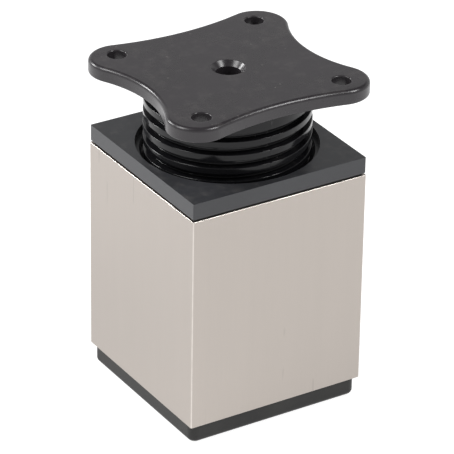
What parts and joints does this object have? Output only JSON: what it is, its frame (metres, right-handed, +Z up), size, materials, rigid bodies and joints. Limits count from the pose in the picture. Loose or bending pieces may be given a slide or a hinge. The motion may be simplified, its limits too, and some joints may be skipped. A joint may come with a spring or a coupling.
{
  "type": "furniture leveling foot",
  "caption": "Square metal furniture foot with a black lobed screw-on plate on a coarse threaded barrel that turns in a square collar to set the height.",
  "frame": {"origin": "middle of the shoe's underside, on the floor plane", "axes": "+Z up along the thread's axis; X and Y square to the sleeve's faces"},
  "size_m": [0.067, 0.0632, 0.1056],
  "materials": {
    "sleeve_metal": "satin brushed, warm nickel tone",
    "shoe_plastic": "matt dark grey moulding",
    "collar_plastic": "satin black moulding",
    "plate_plastic": "satin black moulding",
    "ring_steel": "phosphated spring steel",
    "screw_steel": "zinc plated"
  },
  "bodies": {
    "housing": {"sleeve": "sleeve_metal", "base_shoe": "shoe_plastic", "thread_collar": "collar_plastic", "tie_screws": "screw_steel"},
    "lift": {"stop_ring": "ring_steel"},
    "plate": {"mounting_plate": "plate_plastic"}
  },
  "joints": [
    {"name": "height", "type": "slide", "parent": "housing", "child": "lift", "axis": [0, 0, 1], "range_m": [-0.0197, 0.00513]},
    {"name": "plate_turn", "type": "hinge", "parent": "lift", "child": "plate", "pos_m": [0, 0, 0.1], "axis": [0, 0, 1], "range_deg": [-1649.4, 429.6]}
  ],
  "couplings": [
    {"joint": "plate_turn", "follows": "height", "rad_per_m": 1461.2}
  ]
}
